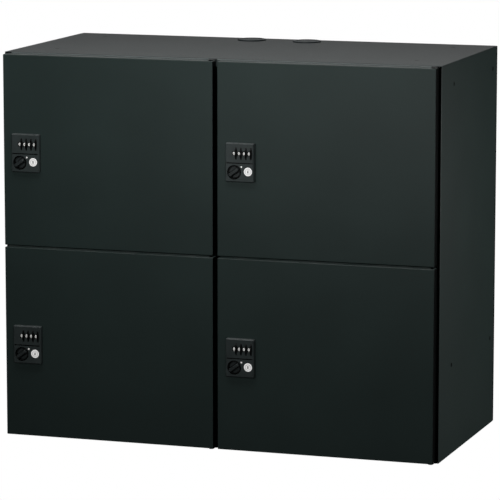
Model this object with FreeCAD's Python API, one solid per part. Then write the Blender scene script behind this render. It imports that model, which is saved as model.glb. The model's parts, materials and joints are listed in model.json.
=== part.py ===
import FreeCAD
import Part
import os

# Parcel locker, four compartments, millimetres. +Z is up, the doors face -Y.
# The origin is the middle of the underside, at floor level.

# Driving sizes
cabinet_width = 900.0
cabinet_depth = 450.0
cabinet_height = 775.0
sheet = 1.0
door_thickness = 20.0
door_inner_depth = 5.5
door_standoff = 2.5
side_reveal = 5.0
end_reveal = 3.0
column_gap = 9.0
row_gap = 4.0
bend_radius = 1.6
end_fold_radius = 3.0
end_edge_round = 0.7

# Clearances
seam = 0.3
running_fit = 0.05
hole_clearance = 0.1
touch_gap = 0.1

# Cabinet folds
front_flange = 15.0
rear_flange = 20.0
roof_flange = 20.0
front_lip = 15.0
shelf_fold = 12.0
back_tray_depth = 6.0

# Hinges
pivot_from_edge = 6.5
pivot_from_front = 8.0
pin_radius = 2.5
pin_reach = 10.0
collar_radius = 4.4
collar_length = 9.0
hinge_plate_sheet = 1.2
hinge_plate_half = 7.5
hinge_foot_sheet = 1.6
hinge_foot_height = 34.0
hinge_nose = 2.2
hinge_screw_reach = (13.6, 26.5)
hinge_screw_inset = 1.0
collar_start = 0.3

# Locks
lock_width = 59.0
lock_height = 77.0
lock_from_edge = 20.2
lock_from_top = 156.7
lock_plate = 10.0
lock_case_inset = 1.5
lock_case_wall = 1.5
lock_case_depth = 24.0
lock_bevel = 2.0
plate_corner = 2.5
groove_drop = 39.4
groove_width = 1.2
groove_depth = 1.0
groove_inset = 2.6

# Number wheels: a drum that carries the digits, and a notched thumb disc on its right
wheel_count = 4
wheel_first = 17.4
wheel_pitch = 10.2
wheel_drop = 20.6
drum_radius = 11.5
drum_sunk = 1.6
drum_left = 2.5
drum_right = 3.6
drum_gap = 0.4
thumb_radius = 17.0
thumb_width = 2.2
thumb_gap = 0.5
thumb_edge = 0.4
thumb_notches = 20
thumb_notch_radius = 0.9
window_height = 8.6
wheel_side_gap = 0.3
wheel_axle_radius = 2.0
collar_wall = 0.9

# Knob and cam
knob_across = 18.4
knob_drop = 57.3
knob_radius = 13.2
knob_recess = 4.5
knob_recess_gap = 1.0
knob_disc = 3.9
knob_edge = 0.8
knob_rim = 1.6
knob_hollow = 2.2
knob_bar = 8.4
grip_edge = 1.2
grip_end_radius = 2.9
grip_length = 23.0
grip_width = 6.4
grip_height = 6.6
grip_angle = 36.0
shaft_radius = 4.0
cam_sheet = 2.0
cam_arm = 34.0
cam_width = 12.0
cam_bore_radius = 3.0
cam_gap = 1.5
tail_length = 1.0

# Key cylinder
key_across = 46.9
key_drop = 55.5
key_radius = 8.5
key_body_radius = 7.4
key_proud = 0.8
keyhole_width = 2.0
keyhole_height = 5.6
keyhole_depth = 6.0
key_edge = 0.5
key_ring_radius = 5.6
key_ring_width = 0.5
key_ring_depth = 0.3
key_tail = 0.8

# Holes, plugs and caps
fixing_radius = 4.5
plug_flange_radius = 6.5
plug_flange_sheet = 1.4
plug_sunk = 0.15
side_hole_front = 114.0
side_hole_back = 35.0
side_hole_drop = 43.5
side_hole_rise = 179.0
roof_hole_inset = 75.0
roof_hole_front = 115.0
roof_hole_back = 64.0
wall_hole_inset = 150.0
wall_hole_drop = 75.0
cable_hole_radius = 25.0
cable_cap_radius = 29.0
cable_cap_proud = 3.0
cable_cap_depth = 9.0
cable_cap_wall = 1.6
cable_offset = 59.5
cable_from_back = 45.0
cable_cap_edge = 1.6
cable_dish_radius = 21.0
cable_dish_depth = 0.8

# Screws and buffers
screw_radius = 2.0
screw_head_radius = 4.0
screw_head = 2.0
screw_end = 4.0
hinge_screw_head_radius = 3.2
hinge_screw_head = 1.6
screw_slot_length = 4.8
screw_slot_width = 0.9
screw_slot_depth = 0.9
back_screw_from_end = 70.0
back_screw_rows = 4
back_screw_across = 225.0
buffer_radius = 4.5
buffer_thickness = 1.8
buffer_stem_radius = 2.0
buffer_stem_length = 2.1
buffer_edge = 0.6
buffer_from_end = 46.0

# Cutters run this far past the faces they open, and places nearer than "near" are one.
# An edge runs along an axis when that axis holds more than this share of its span.
over = 1.0
near = 0.01
along_share = 0.99

# Derived positions
half_width = cabinet_width / 2
door_front = -cabinet_depth / 2
door_back = door_front + door_thickness
cabinet_front = door_back + door_standoff
cabinet_back = cabinet_depth / 2
back_face = cabinet_back - back_tray_depth
shell_back = back_face - seam
flange_back = cabinet_front + sheet
middle_height = cabinet_height / 2
wall_in = sheet + seam
door_width = (cabinet_width - 2 * side_reveal - column_gap) / 2
door_height = (cabinet_height - 2 * end_reveal - row_gap) / 2
plate_back = door_front - seam
plate_front = plate_back - lock_plate
case_back = door_front + lock_case_depth
cam_front = case_back + cam_gap
cam_back = cam_front + cam_sheet
recess_floor = plate_front + knob_recess
wheel_axle_y = plate_front + drum_sunk + drum_radius
fold_end = cabinet_front + end_fold_radius

columns = {"left": -half_width + side_reveal, "right": column_gap / 2}
rows = {"upper": middle_height + row_gap / 2, "lower": end_reveal}


def box(x0, x1, y0, y1, z0, z1):
    return Part.makeBox(x1 - x0, y1 - y0, z1 - z0, FreeCAD.Vector(x0, y0, z0))


def rod(axis, radius, start, length, a, b):
    # A cylinder along one axis; a and b are its other two coordinates in x, y, z order.
    if axis == "x":
        return Part.makeCylinder(radius, length, FreeCAD.Vector(start, a, b), FreeCAD.Vector(1, 0, 0))
    if axis == "y":
        return Part.makeCylinder(radius, length, FreeCAD.Vector(a, start, b), FreeCAD.Vector(0, 1, 0))
    return Part.makeCylinder(radius, length, FreeCAD.Vector(a, b, start), FreeCAD.Vector(0, 0, 1))


def join(first, others):
    return first.multiFuse(others).removeSplitter()


def runs_along(edge, axis):
    ends = edge.Vertexes
    if len(ends) != 2:
        return False
    span = ends[1].Point - ends[0].Point
    parts = {"x": abs(span.x), "y": abs(span.y), "z": abs(span.z)}
    return parts[axis] > along_share * span.Length


def round_edges(shape, radius, chosen):
    edges = [edge for edge in shape.Edges if chosen(edge)]
    return shape.makeFillet(radius, edges)


def tray(x0, x1, y0, y1, z0, z1, open_to):
    # A shallow folded tray with closed corners; open_to is 1 toward +Y and -1 toward -Y.
    face_y = y0 if open_to > 0 else y1
    outer = box(x0, x1, y0, y1, z0, z1)

    def on_face_or_corner(edge):
        on_face = all(abs(vertex.Y - face_y) < near for vertex in edge.Vertexes)
        return on_face or runs_along(edge, "y")

    outer = round_edges(outer, bend_radius, on_face_or_corner)
    inner_y0 = y0 + sheet if open_to > 0 else y0 - over
    inner_y1 = y1 + over if open_to > 0 else y1 - sheet
    inner = box(x0 + sheet, x1 - sheet, inner_y0, inner_y1, z0 + sheet, z1 - sheet)
    inner_face = inner_y0 if open_to > 0 else inner_y1

    def inner_fold(edge):
        on_face = all(abs(vertex.Y - inner_face) < near for vertex in edge.Vertexes)
        return on_face or runs_along(edge, "y")

    inner = round_edges(inner, bend_radius - sheet, inner_fold)
    return outer.cut(inner)


# Hinge positions

def pivot_x(column):
    return columns[column] + door_width - pivot_from_edge


def pivot_y():
    return door_front + pivot_from_front


def hinge_levels():
    # Each level: underside of the plate, foot direction.
    top = cabinet_height - end_reveal + (end_reveal - sheet - hinge_plate_sheet) / 2
    low = cabinet_height - top - hinge_plate_sheet
    mid = middle_height - hinge_plate_sheet / 2
    return {"top": (top, -1), "mid": (mid, -1), "low": (low, 1)}


def hinge_slots():
    # Openings in the front flanges that let the hinge plates through.
    cuts = []
    for column in columns:
        x = pivot_x(column)
        for base, direction in hinge_levels().values():
            cuts.append(box(x - hinge_plate_half - seam, x + hinge_plate_half + seam,
                            cabinet_front - over, fold_end + over,
                            base - seam, base + hinge_plate_sheet + seam))
    return cuts


def hinge_screw_points():
    points = []
    for column in columns:
        x = pivot_x(column)
        for base, direction in hinge_levels().values():
            for reach in hinge_screw_reach:
                points.append((x - hinge_screw_inset, base + direction * reach))
    return points


def hinge_screw_holes():
    start = cabinet_front - over
    length = sheet + hinge_foot_sheet + seam + 2 * over
    return [rod("y", screw_radius + running_fit, start, length, x, z) for x, z in hinge_screw_points()]


# Screws that hold the back panel

def back_screw_points():
    side_x = half_width - rear_flange / 2
    pitch = (cabinet_height - 2 * back_screw_from_end) / (back_screw_rows - 1)
    levels = [back_screw_from_end + pitch * row for row in range(back_screw_rows)]
    points = [(sign * side_x, z) for sign in (-1, 1) for z in levels]
    end_z = roof_flange / 2 + sheet
    points += [(sign * back_screw_across, z) for sign in (-1, 1) for z in (end_z, cabinet_height - end_z)]
    return points


def back_screw_holes():
    start = shell_back - sheet - over
    length = back_face + sheet + over - start
    return [rod("y", screw_radius + running_fit, start, length, x, z) for x, z in back_screw_points()]


# Fixing holes

def side_hole_points():
    ys = (door_front + side_hole_front, cabinet_back - side_hole_back)
    zs = (side_hole_rise, cabinet_height - side_hole_drop)
    return [(y, z) for y in ys for z in zs]


def end_hole_points():
    x = half_width - roof_hole_inset
    ys = (door_front + roof_hole_front, cabinet_back - roof_hole_back)
    return [(sign * x, y) for sign in (-1, 1) for y in ys]


def wall_hole_points():
    x = half_width - wall_hole_inset
    zs = (wall_hole_drop, cabinet_height - wall_hole_drop)
    return [(sign * x, z) for sign in (-1, 1) for z in zs]


def cable_points():
    y = cabinet_back - cable_from_back
    return [(-cable_offset, y), (cable_offset, y)]


# Buffers sit on the front flanges at the latch side of each door.

def buffer_points():
    points = []
    for column, x0 in columns.items():
        for z0 in rows.values():
            for z in (z0 + buffer_from_end, z0 + door_height - buffer_from_end):
                points.append((x0 + (front_flange - side_reveal) / 2, z))
    return points


def buffer_holes():
    start = cabinet_front - over
    radius = buffer_stem_radius + running_fit
    return [rod("y", radius, start, sheet + 2 * over, x, z) for x, z in buffer_points()]


# Cabinet panels

def side_panel(sign):
    z0 = wall_in
    z1 = cabinet_height - wall_in
    outer_x = sign * half_width
    inner_x = sign * (half_width - sheet)
    front_x = sign * (half_width - front_flange)
    rear_x = sign * (half_width - rear_flange)
    xs = sorted((outer_x, rear_x))
    outer = box(xs[0], xs[1], cabinet_front, shell_back, z0, z1)

    def outer_fold(edge):
        at_side = all(abs(vertex.X - outer_x) < near for vertex in edge.Vertexes)
        return at_side and runs_along(edge, "z")

    outer = round_edges(outer, bend_radius, outer_fold)
    far_x = sign * (half_width - rear_flange - over)
    xs = sorted((far_x, inner_x))
    inner = box(xs[0], xs[1], flange_back, shell_back - sheet, z0 - over, z1 + over)

    def inner_fold(edge):
        at_side = all(abs(vertex.X - inner_x) < near for vertex in edge.Vertexes)
        return at_side and runs_along(edge, "z")

    inner = round_edges(inner, bend_radius - sheet, inner_fold)
    xs = sorted((far_x, front_x))
    trim = box(xs[0], xs[1], cabinet_front - over, flange_back + over, z0 - over, z1 + over)
    start = outer_x - sheet - over
    length = 2 * (sheet + over)
    holes = [rod("x", fixing_radius, start, length, y, z) for y, z in side_hole_points()]
    cuts = [inner, trim] + holes + hinge_slots() + hinge_screw_holes() + back_screw_holes() + buffer_holes()
    return outer.cut(cuts)


def end_panel(at_top):
    # The roof or the floor: a flat sheet with four folded flanges.
    if at_top:
        face_z0 = cabinet_height - sheet
        fold_z0 = cabinet_height - roof_flange
        fold_z1 = cabinet_height
        lip_z0 = cabinet_height - front_lip
        lip_z1 = cabinet_height
    else:
        face_z0 = 0.0
        fold_z0 = 0.0
        fold_z1 = roof_flange
        lip_z0 = 0.0
        lip_z1 = front_lip
    outer_z = cabinet_height if at_top else 0.0
    face = box(-half_width, half_width, cabinet_front, shell_back, face_z0, face_z0 + sheet)
    side_in = half_width - wall_in
    left = box(-side_in, -side_in + sheet, flange_back + seam, shell_back - wall_in, fold_z0, fold_z1)
    right = box(side_in - sheet, side_in, flange_back + seam, shell_back - wall_in, fold_z0, fold_z1)
    front_in = half_width - front_flange - seam
    front = box(-front_in, front_in, cabinet_front, flange_back, lip_z0, lip_z1)
    rear_in = half_width - rear_flange - seam
    rear = box(-rear_in, rear_in, shell_back - sheet, shell_back, fold_z0, fold_z1)
    panel = join(face, [left, right, front, rear])

    def outer_edge(edge):
        on_face = all(abs(vertex.Z - outer_z) < near for vertex in edge.Vertexes)
        return on_face and edge.Length > cabinet_depth / 2

    panel = round_edges(panel, end_edge_round, outer_edge)
    fold_z = outer_z - end_fold_radius if at_top else end_fold_radius
    zs = sorted((outer_z, fold_z))
    inner_fill = box(-front_in, front_in, flange_back, fold_end, zs[0], zs[1])
    inner_round = rod("x", end_fold_radius - sheet, -half_width, cabinet_width, fold_end, fold_z)
    outer_fill = box(-half_width - over, half_width + over, cabinet_front - over, fold_end,
                     zs[0] - (0 if at_top else over), zs[1] + (over if at_top else 0))
    reach = half_width + 2 * over
    outer_round = rod("x", end_fold_radius, -reach, 2 * reach, fold_end, fold_z)
    panel = join(panel, [inner_fill.cut(inner_round)]).cut(outer_fill.cut(outer_round))
    start = outer_z - sheet - over
    length = 2 * (sheet + over)
    holes = [rod("z", fixing_radius, start, length, x, y) for x, y in end_hole_points()]
    if at_top:
        holes += [rod("z", cable_hole_radius, start, length, x, y) for x, y in cable_points()]
    return panel.cut(holes + hinge_slots() + hinge_screw_holes() + back_screw_holes())


def back_panel():
    panel = tray(-half_width, half_width, back_face, cabinet_back, 0, cabinet_height, 1)
    start = back_face - over
    holes = [rod("y", fixing_radius, start, sheet + 2 * over, x, z) for x, z in wall_hole_points()]
    return panel.cut(holes + back_screw_holes())


def centre_strip():
    # The flat bar between the doors, which carries the left doors' hinges.
    z0 = front_lip + seam
    z1 = cabinet_height - front_lip - seam
    strip = box(-front_flange, front_flange, cabinet_front, flange_back, z0, z1)
    return strip.cut(hinge_slots() + hinge_screw_holes() + buffer_holes())


def centre_partition():
    z0 = wall_in
    z1 = cabinet_height - wall_in
    start = flange_back + seam
    rear = shell_back - wall_in
    web = box(-sheet / 2, sheet / 2, start, rear, z0, z1)
    back = box(-sheet / 2, front_flange, rear - sheet, rear, z0, z1)
    panel = join(web, [back])
    # The front corners are notched to clear the folds of the roof and the floor.
    corners = [
        box(-sheet, sheet, start - over, fold_end, z0 - over, end_fold_radius),
        box(-sheet, sheet, start - over, fold_end, cabinet_height - end_fold_radius, z1 + over),
    ]
    return panel.cut(corners)


def shelf(column):
    if column == "left":
        x0 = -half_width + wall_in
        x1 = -sheet / 2 - seam
        lip_x0 = -half_width + front_flange + seam
        lip_x1 = -front_flange - seam
    else:
        x0 = sheet / 2 + seam
        x1 = half_width - wall_in
        lip_x0 = front_flange + seam
        lip_x1 = half_width - front_flange - seam
    top = middle_height + sheet / 2
    fold = top - shelf_fold
    # The partition's rear fold lies on its right, so the right shelf stops short of it.
    rear = shell_back - wall_in - wall_in
    start = flange_back + seam
    face = box(x0, x1, start, rear, top - sheet, top)
    nose = box(lip_x0, lip_x1, cabinet_front, start, top - sheet, top)
    lip = box(lip_x0, lip_x1, cabinet_front, flange_back, top - front_lip, top)
    left = box(x0, x0 + sheet, start, rear, fold, top)
    right = box(x1 - sheet, x1, start, rear, fold, top)
    back = box(x0, x1, rear - sheet, rear, fold, top)
    panel = join(face, [nose, lip, left, right, back])
    x = pivot_x(column)
    notch = box(x - hinge_plate_half - seam, x + hinge_plate_half + seam,
                cabinet_front - over, flange_back + hinge_foot_sheet + 3 * seam,
                middle_height - hinge_foot_height - seam, top + over)
    return panel.cut([notch] + hinge_screw_holes())


# Hinge hardware

def hinge_plate(column, level):
    base, direction = hinge_levels()[level]
    x = pivot_x(column)
    y = pivot_y()
    foot_front = flange_back + seam
    foot_back = foot_front + hinge_foot_sheet
    tongue = box(x - hinge_plate_half, x + hinge_plate_half, y, foot_back, base, base + hinge_plate_sheet)
    slim = pin_radius + hinge_nose
    nose = rod("z", slim, base, hinge_plate_sheet, x, y)
    wide = hinge_plate_half + over
    shoulder = cabinet_front - slim
    low = base - over
    high = base + hinge_plate_sheet + over
    wedge_left = box(x - wide, x - slim, y - over, shoulder, low, high)
    wedge_right = box(x + slim, x + wide, y - over, shoulder, low, high)
    tongue = tongue.cut([wedge_left, wedge_right])
    foot_end = base + direction * hinge_foot_height
    zs = sorted((base + (hinge_plate_sheet if direction < 0 else 0), foot_end))
    foot = box(x - hinge_plate_half, x + hinge_plate_half, foot_front, foot_back, zs[0], zs[1])
    plate = join(tongue, [nose, foot])
    bore = rod("z", pin_radius + running_fit, low, high - low, x, y)
    return plate.cut([bore] + hinge_screw_holes())


def hinge_plates():
    return [hinge_plate(column, level) for column in columns for level in hinge_levels()]


def hinge_pins():
    pins = []
    for column in columns:
        x = pivot_x(column)
        y = pivot_y()
        for level, (base, direction) in hinge_levels().items():
            top = base + hinge_plate_sheet
            z0 = base - pin_reach if level != "low" else base - seam
            z1 = top + pin_reach if level != "top" else top + seam
            pin = rod("z", pin_radius, z0, z1 - z0, x, y)
            pins.append(pin)
    return pins


def hinge_screws():
    foot_back = flange_back + seam + hinge_foot_sheet
    screws = []
    for x, z in hinge_screw_points():
        head_start = foot_back + seam
        shank = rod("y", screw_radius, cabinet_front, head_start - cabinet_front, x, z)
        head = rod("y", hinge_screw_head_radius, head_start, hinge_screw_head, x, z)
        screws.append(join(shank, [head]))
    return screws


def back_screws():
    head_front = back_face + sheet + seam
    start = shell_back - screw_end
    screws = []
    for x, z in back_screw_points():
        shank = rod("y", screw_radius, start, head_front - start, x, z)
        head = rod("y", screw_head_radius, head_front, screw_head, x, z)
        head = round_edges(head, screw_head / 2, lambda edge: edge.Vertexes[0].Y > head_front + near)
        slot_front = head_front + screw_head - screw_slot_depth
        slot_back = head_front + screw_head + over
        far = screw_slot_length / 2
        thin = screw_slot_width / 2
        drive = box(x - far, x + far, slot_front, slot_back, z - thin, z + thin)
        cross = box(x - thin, x + thin, slot_front, slot_back, z - far, z + far)
        screws.append(join(shank, [head]).cut([drive, cross]))
    return screws


def door_buffers():
    buffers = []
    for x, z in buffer_points():
        pad_back = cabinet_front - touch_gap
        pad = rod("y", buffer_radius, pad_back - buffer_thickness, buffer_thickness, x, z)
        pad = round_edges(pad, buffer_edge, lambda edge: edge.Vertexes[0].Y < pad_back - near)
        stem = rod("y", buffer_stem_radius, pad_back, buffer_stem_length, x, z)
        buffers.append(join(pad, [stem]))
    return buffers


# Plugs and caps

def plug(axis, outward, surface, a, b):
    # A blind plug, its face just below the outer surface and its flange inside the sheet.
    radius = fixing_radius - hole_clearance
    face = surface - outward * plug_sunk
    inner = surface - outward * (wall_in + plug_flange_sheet)
    start = min(face, inner)
    body = rod(axis, radius, start, abs(face - inner), a, b)
    flange_outer = surface - outward * wall_in
    start = min(flange_outer, inner)
    flange = rod(axis, plug_flange_radius, start, plug_flange_sheet, a, b)
    return join(body, [flange])


def hole_plugs():
    plugs = []
    for sign in (-1, 1):
        plugs += [plug("x", sign, sign * half_width, y, z) for y, z in side_hole_points()]
    plugs += [plug("z", 1, cabinet_height, x, y) for x, y in end_hole_points()]
    return plugs


def cable_cap(x, y):
    top = cabinet_height + cable_cap_proud
    under = cabinet_height + seam
    rim = rod("z", cable_cap_radius, under, top - under, x, y)
    rim = round_edges(rim, cable_cap_edge, lambda edge: edge.Vertexes[0].Z > top - near)
    sleeve_radius = cable_hole_radius - hole_clearance
    sleeve_start = cabinet_height - cable_cap_depth
    sleeve = rod("z", sleeve_radius, sleeve_start, under - sleeve_start, x, y)
    bore_start = sleeve_start - over
    bore = rod("z", sleeve_radius - cable_cap_wall, bore_start, under - bore_start, x, y)
    dish = rod("z", cable_dish_radius, top - cable_dish_depth, cable_dish_depth + over, x, y)
    return join(rim, [sleeve]).cut([bore, dish])


def cable_caps():
    return [cable_cap(x, y) for x, y in cable_points()]


# Doors. Each is drawn at its own corner (x0, z0).

def lock_left(x0):
    return x0 + lock_from_edge


def lock_top(z0):
    return z0 + door_height - lock_from_top


def case_span(x0, z0):
    left = lock_left(x0) + lock_case_inset
    right = lock_left(x0) + lock_width - lock_case_inset
    low = lock_top(z0) - lock_height + lock_case_inset
    high = lock_top(z0) - lock_case_inset
    return left, right, low, high


def case_opening(x0, z0):
    left, right, low, high = case_span(x0, z0)
    return box(left - seam, right + seam, door_front - over, door_back + over, low - seam, high + seam)


def door_skin(x0, z0):
    x1 = x0 + door_width
    z1 = z0 + door_height
    skin = tray(x0, x1, door_front, door_back, z0, z1, 1)
    px = x1 - pivot_from_edge
    py = pivot_y()
    low = rod("z", collar_radius, z0 + collar_start, collar_length, px, py)
    high = rod("z", collar_radius, z1 - collar_start - collar_length, collar_length, px, py)
    skin = join(skin, [low, high])
    radius = pin_radius + running_fit
    bores = [
        rod("z", radius, z0 - over, pin_reach + 2 * over, px, py),
        rod("z", radius, z1 - pin_reach - over, pin_reach + 2 * over, px, py),
    ]
    return skin.cut(bores + [case_opening(x0, z0)])


def door_inner(x0, z0):
    pan = tray(x0 + wall_in, x0 + door_width - wall_in, door_back - door_inner_depth, door_back,
               z0 + wall_in, z0 + door_height - wall_in, -1)
    return pan.cut(case_opening(x0, z0))


def wheel_centre(x0, index):
    return lock_left(x0) + wheel_first + wheel_pitch * index


def lock_plate_body(x0, z0):
    left = lock_left(x0)
    top = lock_top(z0)
    body = box(left, left + lock_width, plate_front, plate_back, top - lock_height, top)
    body = round_edges(body, plate_corner, lambda edge: runs_along(edge, "y"))

    def front_edge(edge):
        return all(abs(vertex.Y - plate_front) < near for vertex in edge.Vertexes)

    body = body.makeChamfer(lock_bevel, [edge for edge in body.Edges if front_edge(edge)])
    wheel_z = top - wheel_drop
    slot_width = thumb_width + 2 * wheel_side_gap
    cuts = []
    for index in range(wheel_count):
        start = wheel_centre(x0, index) - drum_left - wheel_side_gap
        slot_start = wheel_centre(x0, index) + drum_right - wheel_side_gap
        cuts.append(box(start, slot_start + near, plate_front - over, wheel_axle_y,
                        wheel_z - window_height / 2, wheel_z + window_height / 2))
        cuts.append(rod("x", drum_radius + drum_gap, start, slot_start + near - start, wheel_axle_y, wheel_z))
        cuts.append(rod("x", thumb_radius + thumb_gap, slot_start, slot_width, wheel_axle_y, wheel_z))
    groove_z = top - groove_drop
    groove = box(left + groove_inset, left + lock_width - groove_inset, plate_front - over,
                 plate_front + groove_depth, groove_z - groove_width / 2, groove_z + groove_width / 2)
    cuts.append(groove)
    knob_x = left + knob_across
    knob_z = top - knob_drop
    start = plate_front - over
    through = lock_plate + 2 * over
    key_x = left + key_across
    key_z = top - key_drop
    cuts.append(rod("y", knob_radius + knob_recess_gap, start, knob_recess + over, knob_x, knob_z))
    cuts.append(rod("y", shaft_radius + running_fit, start, through, knob_x, knob_z))
    cuts.append(rod("y", key_radius + running_fit, start, through, key_x, key_z))
    return body.cut(cuts)


def lock_case(x0, z0):
    left, right, low, high = case_span(x0, z0)
    front = plate_back + touch_gap
    outer = box(left, right, front, case_back, low, high)
    wall = lock_case_wall
    inner = box(left + wall, right - wall, front - over, case_back - wall, low + wall, high - wall)
    shell = outer.cut(inner)
    top = lock_top(z0)
    wheel_z = top - wheel_drop
    start = left + wall / 2
    end = right - wall / 2
    axle = rod("x", wheel_axle_radius, start, end - start, wheel_axle_y, wheel_z)
    # Collars keep the wheels apart: one before each wheel and one after the last.
    ends = [start]
    for index in range(wheel_count):
        ends.append(wheel_centre(x0, index) - drum_left - wheel_side_gap)
        ends.append(wheel_centre(x0, index) + drum_right + thumb_width + wheel_side_gap)
    ends.append(end)
    collar = wheel_axle_radius + collar_wall
    spans = zip(ends[0::2], ends[1::2])
    collars = [rod("x", collar, low_x, high_x - low_x, wheel_axle_y, wheel_z) for low_x, high_x in spans]
    body = join(shell, [axle] + collars)
    knob_x = lock_left(x0) + knob_across
    knob_z = top - knob_drop
    key_x = lock_left(x0) + key_across
    key_z = top - key_drop
    cuts = [
        rod("y", shaft_radius + running_fit, case_back - wall - over, wall + 2 * over, knob_x, knob_z),
        rod("y", key_body_radius + running_fit, case_back - wall - over, wall + 2 * over, key_x, key_z),
    ]
    return body.cut(cuts)


def dial_wheel(x0, z0, index):
    start = wheel_centre(x0, index) - drum_left
    disc_start = wheel_centre(x0, index) + drum_right
    z = lock_top(z0) - wheel_drop
    drum = rod("x", drum_radius, start, disc_start + thumb_width / 2 - start, wheel_axle_y, z)
    disc = rod("x", thumb_radius, disc_start, thumb_width, wheel_axle_y, z)
    disc = round_edges(disc, thumb_edge, lambda edge: len(edge.Vertexes) == 1)
    width = drum_left + drum_right + thumb_width
    bore = rod("x", wheel_axle_radius + running_fit, start - over, width + 2 * over, wheel_axle_y, z)
    notches = []
    for step in range(thumb_notches):
        turn = FreeCAD.Rotation(FreeCAD.Vector(1, 0, 0), 360 / thumb_notches * (step + 0.5))
        offset = turn.multVec(FreeCAD.Vector(0, -thumb_radius - thumb_notch_radius / 3, 0))
        notches.append(rod("x", thumb_notch_radius, disc_start - over, thumb_width + 2 * over,
                           wheel_axle_y + offset.y, z + offset.z))
    return join(drum, [disc.cut(notches)]).cut(bore)


def lock_knob(x0, z0):
    x = lock_left(x0) + knob_across
    z = lock_top(z0) - knob_drop
    centre = FreeCAD.Vector(x, 0, z)
    forward = FreeCAD.Vector(0, 1, 0)
    disc_back = recess_floor - seam
    disc_front = disc_back - knob_disc
    disc = rod("y", knob_radius, disc_front, knob_disc, x, z)
    disc = round_edges(disc, knob_edge, lambda edge: edge.Vertexes[0].Y < disc_front + near)
    # Finger hollows either side of the bar that carries the grip
    hollow = rod("y", knob_radius - knob_rim, disc_front - over, over + knob_hollow, x, z)
    bar = box(x - knob_radius, x + knob_radius, disc_front - over, disc_back,
              z - knob_bar / 2, z + knob_bar / 2)
    bar.rotate(centre, forward, -grip_angle)
    disc = disc.cut(hollow.cut(bar))
    grip = box(x - grip_length / 2, x + grip_length / 2, disc_front - grip_height, disc_front + knob_disc / 2,
               z - grip_width / 2, z + grip_width / 2)
    grip = round_edges(grip, grip_end_radius, lambda edge: runs_along(edge, "y"))

    def grip_top(edge):
        return all(vertex.Y < disc_front - grip_height + near for vertex in edge.Vertexes)

    grip = round_edges(grip, grip_edge, grip_top)
    grip.rotate(centre, forward, -grip_angle)
    shaft_start = disc_back - knob_disc / 4
    shaft = rod("y", shaft_radius, shaft_start, cam_front - seam - shaft_start, x, z)
    tail = rod("y", cam_bore_radius, cam_front - over, over + cam_sheet + tail_length, x, z)
    return join(disc, [grip, shaft, tail])


def lock_cam(x0, z0):
    # Parked pointing down; a quarter turn swings it behind the front flange.
    x = lock_left(x0) + knob_across
    z = lock_top(z0) - knob_drop
    half = cam_width / 2
    hub = rod("y", half, cam_front, cam_sheet, x, z)
    arm = box(x - half, x + half, cam_front, cam_back, z - cam_arm + half, z)
    tip = rod("y", half, cam_front, cam_sheet, x, z - cam_arm + half)
    cam = join(hub, [arm, tip])
    return cam.cut(rod("y", cam_bore_radius + running_fit, cam_front - over, cam_sheet + 2 * over, x, z))


def key_plug(x0, z0):
    x = lock_left(x0) + key_across
    z = lock_top(z0) - key_drop
    front = plate_front - key_proud
    head = rod("y", key_radius, front, plate_back - front, x, z)
    head = round_edges(head, key_edge, lambda edge: edge.Vertexes[0].Y < front + near)
    plug_body = join(head, [rod("y", key_body_radius, plate_back, case_back + key_tail - plate_back, x, z)])
    slot = box(x - keyhole_width / 2, x + keyhole_width / 2, front - over, front + keyhole_depth,
               z - keyhole_height / 2, z + keyhole_height / 2)
    ring = rod("y", key_ring_radius, front - over, over + key_ring_depth, x, z)
    core = rod("y", key_ring_radius - key_ring_width, front - over, over + key_ring_depth, x, z)
    return plug_body.cut([slot, ring.cut(core)])


def write(name, shapes):
    shape = shapes
    if isinstance(shapes, list):
        shape = Part.makeCompound(shapes) if len(shapes) > 1 else shapes[0]
    shape.exportStep("parts/" + name + ".step")
    print(name, len(shape.Solids), "solid(s), valid" if shape.isValid() else "solid(s), NOT VALID")


def write_door(row, column):
    x0 = columns[column]
    z0 = rows[row]
    place = row + "_" + column
    write(place + "_door_skin", door_skin(x0, z0))
    write(place + "_door_inner", door_inner(x0, z0))
    write(place + "_lock_plate", lock_plate_body(x0, z0))
    write(place + "_lock_case", lock_case(x0, z0))
    for index in range(wheel_count):
        write(place + "_dial_" + str(index + 1), dial_wheel(x0, z0, index))
    write(place + "_knob", lock_knob(x0, z0))
    write(place + "_cam", lock_cam(x0, z0))
    write(place + "_key_plug", key_plug(x0, z0))


def main():
    os.makedirs("parts", exist_ok=True)
    write("left_side_panel", side_panel(-1))
    write("right_side_panel", side_panel(1))
    write("top_panel", end_panel(True))
    write("bottom_panel", end_panel(False))
    write("back_panel", back_panel())
    write("centre_strip", centre_strip())
    write("centre_partition", centre_partition())
    write("left_shelf", shelf("left"))
    write("right_shelf", shelf("right"))
    write("hinge_plates", hinge_plates())
    write("hinge_pins", hinge_pins())
    write("hinge_screws", hinge_screws())
    write("back_screws", back_screws())
    write("door_buffers", door_buffers())
    write("hole_plugs", hole_plugs())
    write("cable_caps", cable_caps())
    for row in rows:
        for column in columns:
            write_door(row, column)


main()
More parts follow.
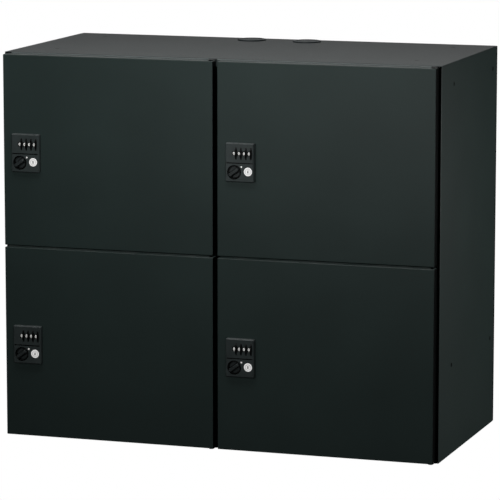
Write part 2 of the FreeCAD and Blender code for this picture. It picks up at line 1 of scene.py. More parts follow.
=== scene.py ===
import bpy
import bmesh
import json
import math
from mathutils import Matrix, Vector


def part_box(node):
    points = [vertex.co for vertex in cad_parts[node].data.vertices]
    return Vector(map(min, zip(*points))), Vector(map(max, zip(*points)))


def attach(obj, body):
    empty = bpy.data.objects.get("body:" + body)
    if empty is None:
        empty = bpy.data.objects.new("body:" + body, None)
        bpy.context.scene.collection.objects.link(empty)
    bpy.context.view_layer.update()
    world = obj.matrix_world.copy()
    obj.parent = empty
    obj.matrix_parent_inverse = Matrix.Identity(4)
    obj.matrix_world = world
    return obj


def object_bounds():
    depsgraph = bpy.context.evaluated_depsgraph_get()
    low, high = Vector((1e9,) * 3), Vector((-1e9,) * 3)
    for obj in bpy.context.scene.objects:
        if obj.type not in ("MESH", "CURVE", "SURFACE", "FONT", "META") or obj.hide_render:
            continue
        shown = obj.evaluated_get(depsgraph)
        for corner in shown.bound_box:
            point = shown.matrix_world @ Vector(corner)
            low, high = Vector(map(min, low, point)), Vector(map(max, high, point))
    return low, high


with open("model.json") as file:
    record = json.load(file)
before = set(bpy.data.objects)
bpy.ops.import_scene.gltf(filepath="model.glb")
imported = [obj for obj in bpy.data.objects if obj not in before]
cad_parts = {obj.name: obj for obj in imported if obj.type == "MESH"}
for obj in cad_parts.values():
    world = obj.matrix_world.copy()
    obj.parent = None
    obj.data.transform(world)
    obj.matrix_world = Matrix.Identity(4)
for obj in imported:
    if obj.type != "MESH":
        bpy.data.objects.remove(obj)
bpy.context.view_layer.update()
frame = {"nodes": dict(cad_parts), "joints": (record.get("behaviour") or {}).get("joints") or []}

mm = 0.001
rows = ["upper", "lower"]
columns = ["left", "right"]
places = [row + "_" + column for row in rows for column in columns]
wheels = range(1, 5)
joints = {joint["name"]: joint for joint in frame["joints"]}
scene = bpy.context.scene
scene.view_settings.view_transform = "Standard"
print("frame loaded:", len(frame["nodes"]), "nodes")


# Small helpers

def newObject(name, mesh):
    thing = bpy.data.objects.new(name, mesh)
    scene.collection.objects.link(thing)
    return thing


def meshFrom(name, work, smooth=True):
    mesh = bpy.data.meshes.new(name)
    work.normal_update()
    work.to_mesh(mesh)
    work.free()
    for face in mesh.polygons:
        face.use_smooth = smooth
    return mesh


def jointPlace(name):
    return Vector(joints[name]["pos_m"])


# Shader groups: each is built once and placed in the materials that need it.

def newGroup(name, inputs, outputs):
    group = bpy.data.node_groups.new(name, "ShaderNodeTree")
    for label, kind, value in inputs:
        socket = group.interface.new_socket(name=label, in_out="INPUT", socket_type=kind)
        socket.default_value = value
    for label, kind in outputs:
        group.interface.new_socket(name=label, in_out="OUTPUT", socket_type=kind)
    start = group.nodes.new("NodeGroupInput")
    end = group.nodes.new("NodeGroupOutput")
    return group, start, end


def addMath(tree, operation, first, second=None):
    node = tree.nodes.new("ShaderNodeMath")
    node.operation = operation
    for index, value in enumerate((first, second)):
        if value is None:
            continue
        if isinstance(value, (int, float)):
            node.inputs[index].default_value = value
        else:
            tree.links.new(value, node.inputs[index])
    return node.outputs[0]


def addNoise(tree, vector, scale, detail, roughness):
    node = tree.nodes.new("ShaderNodeTexNoise")
    node.inputs["Detail"].default_value = detail
    node.inputs["Roughness"].default_value = roughness
    tree.links.new(scale, node.inputs["Scale"])
    tree.links.new(vector, node.inputs["Vector"])
    return node.outputs["Fac"]


def addRange(tree, value, low, high, toLow=0.0, toHigh=1.0):
    node = tree.nodes.new("ShaderNodeMapRange")
    limits = {"From Min": low, "From Max": high, "To Min": toLow, "To Max": toHigh}
    for label, setting in limits.items():
        if isinstance(setting, (int, float)):
            node.inputs[label].default_value = setting
        else:
            tree.links.new(setting, node.inputs[label])
    tree.links.new(value, node.inputs["Value"])
    return node.outputs["Result"]


def addMix(tree, factor, first, second):
    node = tree.nodes.new("ShaderNodeMix")
    node.data_type = "RGBA"
    for index, value in ((0, factor), (6, first), (7, second)):
        if isinstance(value, tuple):
            node.inputs[index].default_value = value
        else:
            tree.links.new(value, node.inputs[index])
    return node.outputs[2]


groupLook = {
    "edgeSamples": 6, "coverSamples": 8, "coarseGrain": 0.3, "coarseHeight": 0.6,
    "edgeTurn": (0.995, 0.86), "wornPatch": (0.38, 0.62), "dustAndHighlightPatch": (0.35, 0.75),
    "upward": (0.3, 1.0), "drift": (0.3, 0.7), "speckle": (0.35, 0.7), "flatFace": (0.985, 0.999),
}


def makeEdgeWear():
    # A mask that is 1 on worn edges, from the difference between the true and a widened normal.
    group, start, end = newGroup(
        "edgeWear",
        [("Radius", "NodeSocketFloat", 0.001), ("Patchiness", "NodeSocketFloat", 60.0),
         ("Amount", "NodeSocketFloat", 0.5)],
        [("Mask", "NodeSocketFloat")])
    bevel = group.nodes.new("ShaderNodeBevel")
    bevel.samples = groupLook["edgeSamples"]
    group.links.new(start.outputs["Radius"], bevel.inputs["Radius"])
    geometry = group.nodes.new("ShaderNodeNewGeometry")
    dot = group.nodes.new("ShaderNodeVectorMath")
    dot.operation = "DOT_PRODUCT"
    group.links.new(bevel.outputs["Normal"], dot.inputs[0])
    group.links.new(geometry.outputs["Normal"], dot.inputs[1])
    edge = addRange(group, dot.outputs["Value"], *groupLook["edgeTurn"])
    coords = group.nodes.new("ShaderNodeTexCoord")
    patch = addNoise(group, coords.outputs["Object"], start.outputs["Patchiness"],
                     detail=4.0, roughness=0.6)
    patch = addRange(group, patch, *groupLook["wornPatch"])
    mask = addMath(group, "MULTIPLY", edge, patch)
    mask = addMath(group, "MULTIPLY", mask, start.outputs["Amount"])
    group.links.new(mask, end.inputs["Mask"])
    return group


def makeOrangePeel():
    # The fine pebbled skin of a finish: its height, a slow drift of tone and a fine speckle.
    group, start, end = newGroup(
        "orangePeel",
        [("Grain", "NodeSocketFloat", 1100.0), ("Drift", "NodeSocketFloat", 7.0)],
        [("Height", "NodeSocketFloat"), ("Variation", "NodeSocketFloat"),
         ("Speckle", "NodeSocketFloat")])
    coords = group.nodes.new("ShaderNodeTexCoord")
    fine = addNoise(group, coords.outputs["Object"], start.outputs["Grain"], detail=2.0, roughness=0.5)
    coarseScale = addMath(group, "MULTIPLY", start.outputs["Grain"], groupLook["coarseGrain"])
    coarse = addNoise(group, coords.outputs["Object"], coarseScale, detail=2.0, roughness=0.5)
    coarse = addMath(group, "MULTIPLY", coarse, groupLook["coarseHeight"])
    height = addMath(group, "ADD", fine, coarse)
    group.links.new(height, end.inputs["Height"])
    drift = addNoise(group, coords.outputs["Object"], start.outputs["Drift"], detail=3.0, roughness=0.5)
    group.links.new(addRange(group, drift, *groupLook["drift"]), end.inputs["Variation"])
    group.links.new(addRange(group, fine, *groupLook["speckle"]), end.inputs["Speckle"])
    return group


def makeDust():
    # Dust on faces that look up, thin and uneven. Set high, as on the doors and lock plates, it is a
    # painted highlight on their top faces.
    group, start, end = newGroup(
        "dustAndHighlightGroup",
        [("Amount", "NodeSocketFloat", 0.3), ("Scale", "NodeSocketFloat", 30.0)],
        [("Mask", "NodeSocketFloat")])
    geometry = group.nodes.new("ShaderNodeNewGeometry")
    split = group.nodes.new("ShaderNodeSeparateXYZ")
    group.links.new(geometry.outputs["Normal"], split.inputs[0])
    upward = addRange(group, split.outputs["Z"], *groupLook["upward"])
    coords = group.nodes.new("ShaderNodeTexCoord")
    patch = addNoise(group, coords.outputs["Object"], start.outputs["Scale"],
                     detail=5.0, roughness=0.65)
    patch = addRange(group, patch, *groupLook["dustAndHighlightPatch"])
    mask = addMath(group, "MULTIPLY", upward, patch)
    mask = addMath(group, "MULTIPLY", mask, start.outputs["Amount"])
    group.links.new(mask, end.inputs["Mask"])
    return group


def makeAxisFaces():
    # Masks that are 1 on faces square to one axis of the piece: either way round, or one way.
    # Bends Only takes the flats out of the first, so that it keeps to the rounded folds.
    group, start, end = newGroup(
        "axisFaces",
        [("Axis", "NodeSocketVector", (1.0, 0.0, 0.0)), ("Start", "NodeSocketFloat", 0.45),
         ("Full", "NodeSocketFloat", 0.9), ("Bends Only", "NodeSocketFloat", 0.0)],
        [("Mask", "NodeSocketFloat"), ("One Way", "NodeSocketFloat")])
    coords = group.nodes.new("ShaderNodeTexCoord")
    dot = group.nodes.new("ShaderNodeVectorMath")
    dot.operation = "DOT_PRODUCT"
    group.links.new(coords.outputs["Normal"], dot.inputs[0])
    group.links.new(start.outputs["Axis"], dot.inputs[1])
    size = addMath(group, "ABSOLUTE", dot.outputs["Value"])
    mask = addRange(group, size, start.outputs["Start"], start.outputs["Full"])
    flat = addRange(group, size, *groupLook["flatFace"])
    flat = addMath(group, "MULTIPLY", flat, start.outputs["Bends Only"])
    mask = addMath(group, "MULTIPLY", mask, addMath(group, "SUBTRACT", 1.0, flat))
    group.links.new(mask, end.inputs["Mask"])
    mask = addRange(group, dot.outputs["Value"], start.outputs["Start"], start.outputs["Full"])
    group.links.new(mask, end.inputs["One Way"])
    return group


def makeCrevice():
    # A mask of painted shade: 1 down in grooves, slots and gaps, where a surface close by blocks the
    # view.
    group, start, end = newGroup(
        "paintedCreviceShade",
        [("Reach", "NodeSocketFloat", 0.002), ("Open", "NodeSocketFloat", 0.75),
         ("Closed", "NodeSocketFloat", 0.45)],
        [("Mask", "NodeSocketFloat")])
    cover = group.nodes.new("ShaderNodeAmbientOcclusion")
    cover.samples = groupLook["coverSamples"]
    group.links.new(start.outputs["Reach"], cover.inputs["Distance"])
    mask = addRange(group, cover.outputs["AO"], start.outputs["Open"], start.outputs["Closed"])
    group.links.new(mask, end.inputs["Mask"])
    return group


edgeWear = makeEdgeWear()
paintedCreviceShade = makeCrevice()
axisFaces = makeAxisFaces()
orangePeel = makeOrangePeel()
dustAndHighlightGroup = makeDust()
print("shader groups made")


def placeGroup(tree, group, values):
    node = tree.nodes.new("ShaderNodeGroup")
    node.node_tree = group
    for label, value in values.items():
        node.inputs[label].default_value = value
    return node


def startMaterial(name):
    material = bpy.data.materials.new(name)
    material.use_nodes = True
    shader = material.node_tree.nodes["Principled BSDF"]
    return material, material.node_tree, shader


def finishSurface(tree, shader, peel, colour, rough, height, strength):
    # What every finish shares: its colour, a roughness that follows the skin, and the skin's relief.
    tree.links.new(colour, shader.inputs["Base Color"])
    smoothest, roughest = rough
    roughness = addRange(tree, peel.outputs["Speckle"], 0.0, 1.0, smoothest, roughest)
    tree.links.new(roughness, shader.inputs["Roughness"])
    bump = tree.nodes.new("ShaderNodeBump")
    bump.inputs["Distance"].default_value = height
    bump.inputs["Strength"].default_value = strength
    tree.links.new(peel.outputs["Height"], bump.inputs["Height"])
    tree.links.new(bump.outputs["Normal"], shader.inputs["Normal"])


# Powder coat on the cabinet and the doors. Faces that look along one axis of the piece take a painted
# light colour:
# nearly black painted shade on the front flanges and the doors' sides, and a lighter painted highlight
# on the roof's front fold.

coatLook = {
    "cabinet": {"dark": (0.0222, 0.0405, 0.0365, 1), "light": (0.0265, 0.0482, 0.0434, 1),
                "rough": (0.42, 0.52), "dustAndHighlight": 0.05, "paintedLightAxis": (0, 1, 0),
                "paintedLight": (0.0016, 0.0020, 0.0020, 1), "paintedShadeMatte": True, "bendsOnly": 0.0},
    "roof": {"dark": (0.0265, 0.0350, 0.0352, 1), "light": (0.0316, 0.0416, 0.0418, 1),
             "rough": (0.42, 0.52), "dustAndHighlight": 0.05, "paintedLightAxis": (0, 1, 0),
             "paintedLight": (0.1500, 0.1780, 0.1760, 1), "paintedShadeMatte": False, "bendsOnly": 1.0},
    # The doors' high dust amount is a painted highlight on their top edges.
    "door": {"dark": (0.0232, 0.0388, 0.0362, 1), "light": (0.0277, 0.0462, 0.0432, 1),
             "rough": (0.40, 0.50), "dustAndHighlight": 0.40, "paintedLightAxis": (1, 0, 0),
             "paintedLight": (0.0020, 0.0028, 0.0027, 1), "paintedShadeMatte": True, "bendsOnly": 0.0},
    "back": {"dark": (0.0100, 0.0140, 0.0132, 1), "light": (0.0140, 0.0190, 0.0180, 1),
             "rough": (0.50, 0.62), "dustAndHighlight": 0.04, "paintedLightAxis": (1, 0, 0),
             "paintedLight": (0.0060, 0.0080, 0.0076, 1), "paintedShadeMatte": True, "bendsOnly": 0.0},
}
coatShared = {
    "peel": {"Grain": 1150.0, "Drift": 6.0}, "peelHeight": 0.09 * mm, "peelStrength": 0.5,
    "wear": {"Radius": 1.1 * mm, "Patchiness": 55.0, "Amount": 0.3},
    "wornColour": (0.055, 0.075, 0.072, 1),
    "dustAndHighlightScale": 28.0, "dustAndHighlightColour": (0.15, 0.16, 0.155, 1), "shine": 0.5,
}


def powderCoat(name, look):
    material, tree, shader = startMaterial(name)
    peel = placeGroup(tree, orangePeel, coatShared["peel"])
    wear = placeGroup(tree, edgeWear, coatShared["wear"])
    dustAndHighlight = placeGroup(tree, dustAndHighlightGroup, {"Amount": look["dustAndHighlight"], "Scale": coatShared["dustAndHighlightScale"]})
    sides = placeGroup(tree, axisFaces, {"Axis": look["paintedLightAxis"], "Bends Only": look["bendsOnly"]})
    colour = addMix(tree, peel.outputs["Variation"], look["dark"], look["light"])
    colour = addMix(tree, wear.outputs["Mask"], colour, coatShared["wornColour"])
    # Dust, and where the amount is high a painted highlight on faces that look up.
    colour = addMix(tree, dustAndHighlight.outputs["Mask"], colour, coatShared["dustAndHighlightColour"])
    # Painted shade on the flanges and door sides, painted highlight on the roof's front fold, chosen by
    # which way a face looks.
    colour = addMix(tree, sides.outputs["Mask"], colour, look["paintedLight"])
    finishSurface(tree, shader, peel, colour, look["rough"],
                  coatShared["peelHeight"], coatShared["peelStrength"])
    if look["paintedShadeMatte"]:
        # A metal this dark mirrors almost nothing, which takes the shine off those painted-shade sides.
        tree.links.new(sides.outputs["Mask"], shader.inputs["Metallic"])
    shader.inputs["Specular IOR Level"].default_value = coatShared["shine"]
    return material


# Plastics: lock bodies, wheels, knobs, plugs, caps and buffers

plasticLook = {
    # The lock plates' high dust amount is a painted highlight on their top bevels.
    "lockShell": {"dark": (0.038, 0.049, 0.049, 1), "light": (0.051, 0.065, 0.065, 1),
                  "rough": (0.34, 0.46), "grain": 2200.0, "height": 0.04 * mm, "dustAndHighlight": 0.7,
                  "reach": 5.0 * mm, "wear": 0.5, "shine": 0.5},
    "knob": {"dark": (0.027, 0.034, 0.035, 1), "light": (0.037, 0.045, 0.046, 1),
             "rough": (0.30, 0.42), "grain": 2600.0, "height": 0.03 * mm, "dustAndHighlight": 0.1,
             "reach": 3.0 * mm, "wear": 0.5, "shine": 0.5},
    "dial": {"dark": (0.0012, 0.0014, 0.0014, 1), "light": (0.0020, 0.0022, 0.0022, 1),
             "rough": (0.26, 0.36), "grain": 3000.0, "height": 0.02 * mm, "dustAndHighlight": 0.0,
             "reach": 4.5 * mm, "wear": 0.06, "shine": 0.2},
    "cap": {"dark": (0.024, 0.032, 0.034, 1), "light": (0.030, 0.039, 0.041, 1),
            "rough": (0.40, 0.50), "grain": 1600.0, "height": 0.05 * mm, "dustAndHighlight": 0.05,
            "reach": 2.0 * mm, "wear": 0.3, "shine": 0.5},
    "plug": {"dark": (0.0010, 0.0011, 0.0011, 1), "light": (0.0020, 0.0021, 0.0021, 1),
             "rough": (0.40, 0.52), "grain": 1800.0, "height": 0.05 * mm, "dustAndHighlight": 0.0,
             "reach": 2.0 * mm, "wear": 0.02, "shine": 0.1},
    "rubber": {"dark": (0.010, 0.010, 0.010, 1), "light": (0.018, 0.018, 0.018, 1),
               "rough": (0.70, 0.85), "grain": 1500.0, "height": 0.08 * mm, "dustAndHighlight": 0.1,
               "reach": 2.0 * mm, "wear": 0.3, "shine": 0.4},
}
plasticShared = {
    "drift": 40.0, "strength": 0.6, "wearRadius": 0.6 * mm, "wearPatchiness": 220.0,
    "wornColour": (0.07, 0.07, 0.07, 1), "dustAndHighlightScale": 150.0, "dustAndHighlightColour": (0.22, 0.24, 0.24, 1),
    "open": 0.82, "closed": 0.52, "creviceShadeColour": (0.0008, 0.0008, 0.0008, 1),
}


def mouldedPlastic(name, look):
    material, tree, shader = startMaterial(name)
    peel = placeGroup(tree, orangePeel, {"Grain": look["grain"], "Drift": plasticShared["drift"]})
    wear = placeGroup(tree, edgeWear, {"Radius": plasticShared["wearRadius"], "Amount": look["wear"],
                                       "Patchiness": plasticShared["wearPatchiness"]})
    dustAndHighlight = placeGroup(tree, dustAndHighlightGroup, {"Amount": look["dustAndHighlight"], "Scale": plasticShared["dustAndHighlightScale"]})
    creviceShadeMask = placeGroup(tree, paintedCreviceShade, {"Reach": look["reach"], "Open": plasticShared["open"],
                                      "Closed": plasticShared["closed"]})
    colour = addMix(tree, peel.outputs["Variation"], look["dark"], look["light"])
    colour = addMix(tree, wear.outputs["Mask"], colour, plasticShared["wornColour"])
    # Dust, and where the amount is high a painted highlight on faces that look up.
    colour = addMix(tree, dustAndHighlight.outputs["Mask"], colour, plasticShared["dustAndHighlightColour"])
    # Painted shade, near black, down in grooves, slots and gaps.
    colour = addMix(tree, creviceShadeMask.outputs["Mask"], colour, plasticShared["creviceShadeColour"])
    finishSurface(tree, shader, peel, colour, look["rough"],
                  look["height"], plasticShared["strength"])
    # As on the coat's painted dark sides, this keeps the painted shade in slots and grooves from
    # shining.
    tree.links.new(creviceShadeMask.outputs["Mask"], shader.inputs["Metallic"])
    shader.inputs["Specular IOR Level"].default_value = look["shine"]
    return material


# Metals: key cylinders, cams, hinge hardware and screws

metalLook = {
    # The key cylinders' near-white, barely metallic colour is a painted highlight for chrome mirroring
    # the studio.
    "key": {"dark": (0.90, 0.90, 0.89, 1), "light": (0.97, 0.97, 0.96, 1), "rough": (0.34, 0.42),
            "metallic": 0.1, "glow": 0.45},
    "zinc": {"dark": (0.42, 0.43, 0.45, 1), "light": (0.58, 0.59, 0.60, 1), "rough": (0.32, 0.5),
             "metallic": 1.0, "glow": 0.0},
    "black": {"dark": (0.012, 0.012, 0.013, 1), "light": (0.022, 0.022, 0.023, 1),
              "rough": (0.34, 0.5), "metallic": 1.0, "glow": 0.0},
}
metalShared = {
    "peel": {"Grain": 1600.0, "Drift": 120.0}, "height": 0.02 * mm, "strength": 0.4,
    "wear": {"Radius": 0.4 * mm, "Patchiness": 300.0, "Amount": 0.4},
    "paintedCreviceShade": {"Reach": 5.0 * mm, "Open": 0.92, "Closed": 0.68},
    "creviceShadeColour": (0.002, 0.002, 0.002, 1), "frontAxis": (0, -1, 0), "unlit": (0, 0, 0, 1),
}


def platedMetal(name, look):
    # The front face of the key cylinders glows a little, to stand for the studio's reflection.
    material, tree, shader = startMaterial(name)
    peel = placeGroup(tree, orangePeel, metalShared["peel"])
    wear = placeGroup(tree, edgeWear, metalShared["wear"])
    creviceShadeMask = placeGroup(tree, paintedCreviceShade, metalShared["paintedCreviceShade"])
    front = placeGroup(tree, axisFaces, {"Axis": metalShared["frontAxis"]})
    colour = addMix(tree, peel.outputs["Variation"], look["dark"], look["light"])
    colour = addMix(tree, wear.outputs["Mask"], colour, look["light"])
    # Painted shade, near black, down in slots and gaps.
    colour = addMix(tree, creviceShadeMask.outputs["Mask"], colour, metalShared["creviceShadeColour"])
    finishSurface(tree, shader, peel, colour, look["rough"],
                  metalShared["height"], metalShared["strength"])
    shader.inputs["Metallic"].default_value = look["metallic"]
    glow = addMix(tree, front.outputs["One Way"], metalShared["unlit"], colour)
    tree.links.new(glow, shader.inputs["Emission Color"])
    shader.inputs["Emission Strength"].default_value = look["glow"]
    return material


# White paint of the numerals and index dots

paintLook = {"fresh": (0.86, 0.86, 0.84, 1), "faded": 0.86, "rough": (0.4, 0.55), "height": 0.01 * mm,
             "strength": 0.3, "glow": 0.35, "peel": {"Grain": 4000.0, "Drift": 300.0}}


def markPaint(name, look):
    material, tree, shader = startMaterial(name)
    peel = placeGroup(tree, orangePeel, look["peel"])
    faded = tuple(value * look["faded"] for value in look["fresh"][:3]) + (1,)
    colour = addMix(tree, peel.outputs["Variation"], faded, look["fresh"])
    finishSurface(tree, shader, peel, colour, look["rough"], look["height"], look["strength"])
    # The paint glows a little: a painted highlight for the studio's reflection on the white marks.
    tree.links.new(colour, shader.inputs["Emission Color"])
    shader.inputs["Emission Strength"].default_value = look["glow"]
    return material


cabinetCoat = powderCoat("cabinetCoat", coatLook["cabinet"])
roofCoat = powderCoat("roofCoat", coatLook["roof"])
doorCoat = powderCoat("doorCoat", coatLook["door"])
backCoat = powderCoat("backCoat", coatLook["back"])
lockShell = mouldedPlastic("lockShell", plasticLook["lockShell"])
knobPlastic = mouldedPlastic("knobPlastic", plasticLook["knob"])
dialPlastic = mouldedPlastic("dialPlastic", plasticLook["dial"])
plugPlastic = mouldedPlastic("plugPlastic", plasticLook["plug"])
capPlastic = mouldedPlastic("capPlastic", plasticLook["cap"])
bufferRubber = mouldedPlastic("bufferRubber", plasticLook["rubber"])
keyMetal = platedMetal("keyMetal", metalLook["key"])
zincMetal = platedMetal("zincMetal", metalLook["zinc"])
blackSteel = platedMetal("blackSteel", metalLook["black"])
whitePaint = markPaint("whitePaint", paintLook)
print("materials made")


# Every CAD node gets its finish.

def finishNode(node, material):
    for slot in frame["nodes"][node].material_slots:
        slot.material = material


for panel in ("left_side_panel", "right_side_panel", "bottom_panel", "centre_strip",
              "centre_partition", "left_shelf", "right_shelf"):
    finishNode(panel, cabinetCoat)
finishNode("top_panel", roofCoat)
finishNode("back_panel", backCoat)
finishNode("hinge_screws", zincMetal)
for part in ("hinge_plates", "hinge_pins", "back_screws"):
    finishNode(part, blackSteel)
finishNode("door_buffers", bufferRubber)
finishNode("hole_plugs", plugPlastic)
finishNode("cable_caps", capPlastic)
for place in places:
    finishNode(place + "_door_skin", doorCoat)
    finishNode(place + "_door_inner", doorCoat)
    finishNode(place + "_lock_plate", lockShell)
    finishNode(place + "_lock_case", lockShell)
    for number in wheels:
        finishNode(place + "_dial_" + str(number), dialPlastic)
    finishNode(place + "_knob", knobPlastic)
    finishNode(place + "_cam", zincMetal)
    finishNode(place + "_key_plug", keyMetal)
print("finishes placed")


# Ten white numerals round the drum of each wheel

digitLook = {"height": 6.2 * mm, "stand": 0.12 * mm, "sink": 0.25 * mm, "drumRadius": 11.5 * mm,
             "squeeze": 0.92, "bold": 0.055, "bands": 7, "curveSteps": 4, "count": 10}


def flatDigit(number):
    # One numeral as a flat sheet, centred, then cut into bands so that it can bend.
    curve = bpy.data.curves.new("numeral", "FONT")
    curve.body = str(number)
    curve.align_x = "CENTER"
    curve.size = 1.0
    curve.offset = digitLook["bold"]
    curve.resolution_u = digitLook["curveSteps"]
    writer = newObject("numeral", curve)
    depsgraph = bpy.context.evaluated_depsgraph_get()
    mesh = bpy.data.meshes.new_from_object(writer.evaluated_get(depsgraph))
    work = bmesh.new()
    work.from_mesh(mesh)
    bpy.data.objects.remove(writer)
    bpy.data.meshes.remove(mesh)
    bpy.data.curves.remove(curve)
    lowest = min(vertex.co.y for vertex in work.verts)
    highest = max(vertex.co.y for vertex in work.verts)
    left = min(vertex.co.x for vertex in work.verts)
    right = max(vertex.co.x for vertex in work.verts)
    scale = digitLook["height"] / (highest - lowest)
    for vertex in work.verts:
        vertex.co.x = (vertex.co.x - (left + right) / 2) * scale * digitLook["squeeze"]
        vertex.co.y = (vertex.co.y - (lowest + highest) / 2) * scale
    bands = digitLook["bands"]
    for band in range(1, bands):
        height = digitLook["height"] * (band / bands - 0.5)
        everything = work.verts[:] + work.edges[:] + work.faces[:]
        bmesh.ops.bisect_plane(work, geom=everything, plane_co=(0, height, 0), plane_no=(0, 1, 0))
    return work


def digitRing():
    # Numeral n faces the front when the wheel has turned n tenths of a turn.
    ring = bmesh.new()
    step = math.radians(360.0 / digitLook["count"])
    outer = digitLook["drumRadius"] + digitLook["stand"]
    inner = digitLook["drumRadius"] - digitLook["sink"]
    for number in range(digitLook["count"]):
        work = flatDigit(number)
        solid = bmesh.ops.extrude_face_region(work, geom=work.faces[:])
        raised = {item for item in solid["geom"] if isinstance(item, bmesh.types.BMVert)}
        for vertex in work.verts:
            radius = outer if vertex in raised else inner
            angle = vertex.co.y / digitLook["drumRadius"] + step * number
            across = vertex.co.x
            vertex.co = Vector((across, -radius * math.cos(angle), radius * math.sin(angle)))
        bmesh.ops.recalc_face_normals(work, faces=work.faces[:])
        mesh = bpy.data.meshes.new("numeralPart")
        work.to_mesh(mesh)
        work.free()
        ring.from_mesh(mesh)
        bpy.data.meshes.remove(mesh)
    return meshFrom("digitRing", ring, smooth=False)


ringMesh = digitRing()
ringMesh.materials.append(whitePaint)
for place in places:
    for number in wheels:
        name = place + "_dial_" + str(number)
        digits = newObject(name + "_digits", ringMesh)
        digits.location = jointPlace(name + "_turn")
        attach(digits, name)
print("digits made")


# Loops of points, and the faces between them

def circleLoops(work, profile, sides):
    # One circle of points about the y axis for each (radius, distance out of the face).
    loops = []
    for radius, out in profile:
        loop = []
        for side in range(sides):
            angle = 2 * math.pi * side / sides
            loop.append(work.verts.new((radius * math.cos(angle), -out, radius * math.sin(angle))))
        loops.append(loop)
    return loops


def skinLoops(work, loops):
    # A band of four-sided faces between each loop of points and the next.
    for first, second in zip(loops, loops[1:]):
        for side in range(len(first)):
            after = (side + 1) % len(first)
            work.faces.new((first[side], first[after], second[after], second[side]))


def capLoops(work, loops):
    work.faces.new(loops[-1])
    work.faces.new(list(reversed(loops[0])))


# A dull black band round the rim of each knob: painted shadow of the dark gap round the knob

rimShadeLook = {"outer": 12.9 * mm, "inner": 11.75 * mm, "stand": 0.10 * mm, "sink": 0.20 * mm,
            "edge": 0.08 * mm, "back": 0.30 * mm, "sides": 72}


def knobBand():
    outer, inner = rimShadeLook["outer"], rimShadeLook["inner"]
    stand, sink, edge = rimShadeLook["stand"], rimShadeLook["sink"], rimShadeLook["edge"]
    profile = [(outer, -sink), (outer, stand - edge), (outer - edge, stand),
               (inner + edge, stand), (inner, stand - edge), (inner, -sink)]
    work = bmesh.new()
    loops = circleLoops(work, profile, rimShadeLook["sides"])
    skinLoops(work, loops + loops[:1])
    bmesh.ops.recalc_face_normals(work, faces=work.faces[:])
    return meshFrom("knobBand", work, smooth=False)


rimShadeMesh = knobBand()
rimShadeMesh.materials.append(dialPlastic)
for place in places:
    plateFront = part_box(place + "_lock_plate")[0].y
    centre = jointPlace(place + "_knob_turn")
    band = newObject(place + "_knob_rim_shade", rimShadeMesh)
    band.location = (centre.x, plateFront + rimShadeLook["back"], centre.z)
    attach(band, place + "_knob")
print("knob bands made")


# A black strip across each plate, between the number window and the knob: painted shadow of the groove
# there

shadeLineLook = {"drop": 39.4 * mm, "height": 2.0 * mm, "inset": 2.4 * mm, "stand": 0.06 * mm,
            "sink": 0.5 * mm, "edge": 0.05 * mm}


def dividerLine(width):
    work = bmesh.new()
    half, tall = width / 2, shadeLineLook["height"] / 2
    edge, stand = shadeLineLook["edge"], shadeLineLook["stand"]
    layers = [(half, tall, shadeLineLook["sink"]), (half, tall, edge - stand),
              (half - edge, tall - edge, -stand)]
    loops = []
    for x, z, y in layers:
        corners = [(-x, y, -z), (x, y, -z), (x, y, z), (-x, y, z)]
        loops.append([work.verts.new(corner) for corner in corners])
    skinLoops(work, loops)
    capLoops(work, loops)
    bmesh.ops.recalc_face_normals(work, faces=work.faces[:])
    return meshFrom("dividerLine", work, smooth=False)


for place in places:
    low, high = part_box(place + "_lock_plate")
    line = newObject(place + "_divider_shade", dividerLine(high.x - low.x - 2 * shadeLineLook["inset"]))
    line.location = ((low.x + high.x) / 2, low.y, high.z - shadeLineLook["drop"])
    line.data.materials.append(dialPlastic)
    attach(line, place + "_door")
print("divider lines made")


# The white index dot between the knob and the key

dotLook = {"across": 33.2 * mm, "drop": 46.5 * mm, "radius": 1.8 * mm, "stand": 0.25 * mm,
           "sink": 0.3 * mm, "sides": 32, "crown": [(1.0, 0.4), (0.93, 0.85), (0.8, 1.0)]}


def indexDot():
    radius, stand = dotLook["radius"], dotLook["stand"]
    profile = [(radius, -dotLook["sink"])]
    profile += [(radius * across, stand * out) for across, out in dotLook["crown"]]
    work = bmesh.new()
    loops = circleLoops(work, profile, dotLook["sides"])
    skinLoops(work, loops)
    capLoops(work, loops)
    bmesh.ops.recalc_face_normals(work, faces=work.faces[:])
    return meshFrom("indexDot", work)


dotMesh = indexDot()
dotMesh.materials.append(whitePaint)
for place in places:
    low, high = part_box(place + "_lock_plate")
    dot = newObject(place + "_index_dot", dotMesh)
    dot.location = (low.x + dotLook["across"], low.y, high.z - dotLook["drop"])
    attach(dot, place + "_door")
print("index dots made")


# Floor, light and camera

studio = {"floorSize": 12.0, "floorDrop": 0.5 * mm, "floorRough": 0.9, "world": 0.02,
          "bounceColour": (0.05, 0.05, 0.05, 1), "white": (1, 1, 1, 1), "seenStrength": 1.0}
frontSoftbox = {"place": (-0.05, -0.9, 1.6), "aim": (-0.08, -0.2, 0.72), "size": (1.4, 0.5)}
lamps = {
    "frontLow": {"place": (0.45, -1.4, 0.6), "aim": (0.35, 0.0, 1.9), "size": (1.8, 0.4), "power": 2.6},
    # The high front light is two lamps in one place, because only a third of it casts shadows.
    "frontHigh": {**frontSoftbox, "power": 4.5},
    "frontFill": {**frontSoftbox, "power": 9.0, "shadow": False},
    "side": {"place": (1.6, 0.3, 0.46), "aim": (0.45, 0.1, 0.72), "size": (0.9, 0.4), "power": 5.8},
    "roof": {"place": (-0.3, 1.6, 2.0), "aim": (-0.1, 0.0, 0.78), "size": (2.2, 1.0), "power": 8.2},
}
shot = {"azimuth": 18.531, "elevation": 9.028, "distance": 6.44916, "lens": 237.99384, "sensor": 36.0,
        "target": (0.07224, -0.225, 0.4049), "clipEnd": 100.0}


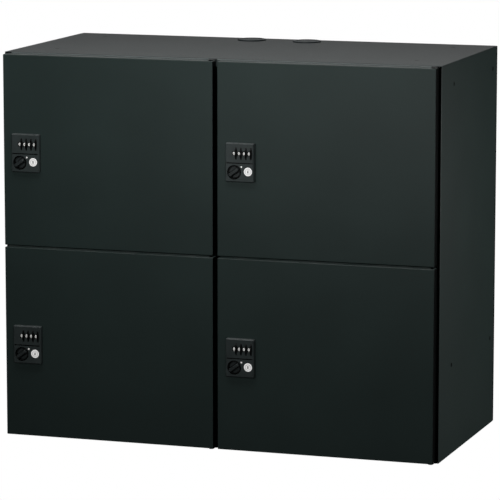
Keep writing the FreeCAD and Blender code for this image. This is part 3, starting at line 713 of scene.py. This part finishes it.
def splitByRay(tree, usual, seen, surface):
    # The camera sees one shader, and every other ray meets the usual one.
    rays = tree.nodes.new("ShaderNodeLightPath")
    mix = tree.nodes.new("ShaderNodeMixShader")
    tree.links.new(rays.outputs["Is Camera Ray"], mix.inputs[0])
    tree.links.new(usual.outputs[0], mix.inputs[1])
    tree.links.new(seen.outputs[0], mix.inputs[2])
    tree.links.new(mix.outputs[0], surface)


def makeFloor():
    work = bmesh.new()
    bmesh.ops.create_grid(work, x_segments=2, y_segments=2, size=studio["floorSize"])
    floor = newObject("floor", meshFrom("floor", work))
    floor.location = (0, 0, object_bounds()[0][2] - studio["floorDrop"])
    material, tree, shader = startMaterial("floorPaper")
    shader.inputs["Base Color"].default_value = studio["bounceColour"]
    shader.inputs["Roughness"].default_value = studio["floorRough"]
    bright = tree.nodes.new("ShaderNodeEmission")
    bright.inputs["Color"].default_value = studio["white"]
    bright.inputs["Strength"].default_value = studio["seenStrength"]
    splitByRay(tree, shader, bright, tree.nodes["Material Output"].inputs["Surface"])
    floor.data.materials.append(material)


def makeLamp(name, lamp):
    light = bpy.data.lights.new(name, "AREA")
    light.shape = "RECTANGLE"
    light.size, light.size_y = lamp["size"]
    light.energy = lamp["power"]
    light.use_shadow = lamp.get("shadow", True)
    thing = bpy.data.objects.new(name, light)
    scene.collection.objects.link(thing)
    thing.location = lamp["place"]
    aim = Vector(lamp["aim"]) - Vector(lamp["place"])
    thing.rotation_euler = aim.to_track_quat("-Z", "Y").to_euler()


def makeWorld():
    world = bpy.data.worlds.new("studioAir")
    world.use_nodes = True
    tree = world.node_tree
    plain = tree.nodes["Background"]
    plain.inputs["Color"].default_value = studio["white"]
    plain.inputs["Strength"].default_value = studio["world"]
    seen = tree.nodes.new("ShaderNodeBackground")
    seen.inputs["Color"].default_value = studio["white"]
    seen.inputs["Strength"].default_value = studio["seenStrength"]
    splitByRay(tree, plain, seen, tree.nodes["World Output"].inputs["Surface"])
    scene.world = world


def makeCamera():
    data = bpy.data.cameras.new("camera")
    data.sensor_width = shot["sensor"]
    data.lens = shot["lens"]
    data.clip_end = shot["clipEnd"]
    camera = bpy.data.objects.new("camera", data)
    scene.collection.objects.link(camera)
    turn = math.radians(shot["azimuth"])
    lift = math.radians(shot["elevation"])
    back = Vector((math.sin(turn) * math.cos(lift), -math.cos(turn) * math.cos(lift), math.sin(lift)))
    camera.location = Vector(shot["target"]) + back * shot["distance"]
    camera.rotation_euler = (-back).to_track_quat("-Z", "Y").to_euler()
    scene.camera = camera


makeFloor()
for lampName, lamp in lamps.items():
    makeLamp(lampName, lamp)
makeWorld()
makeCamera()
print("studio made")
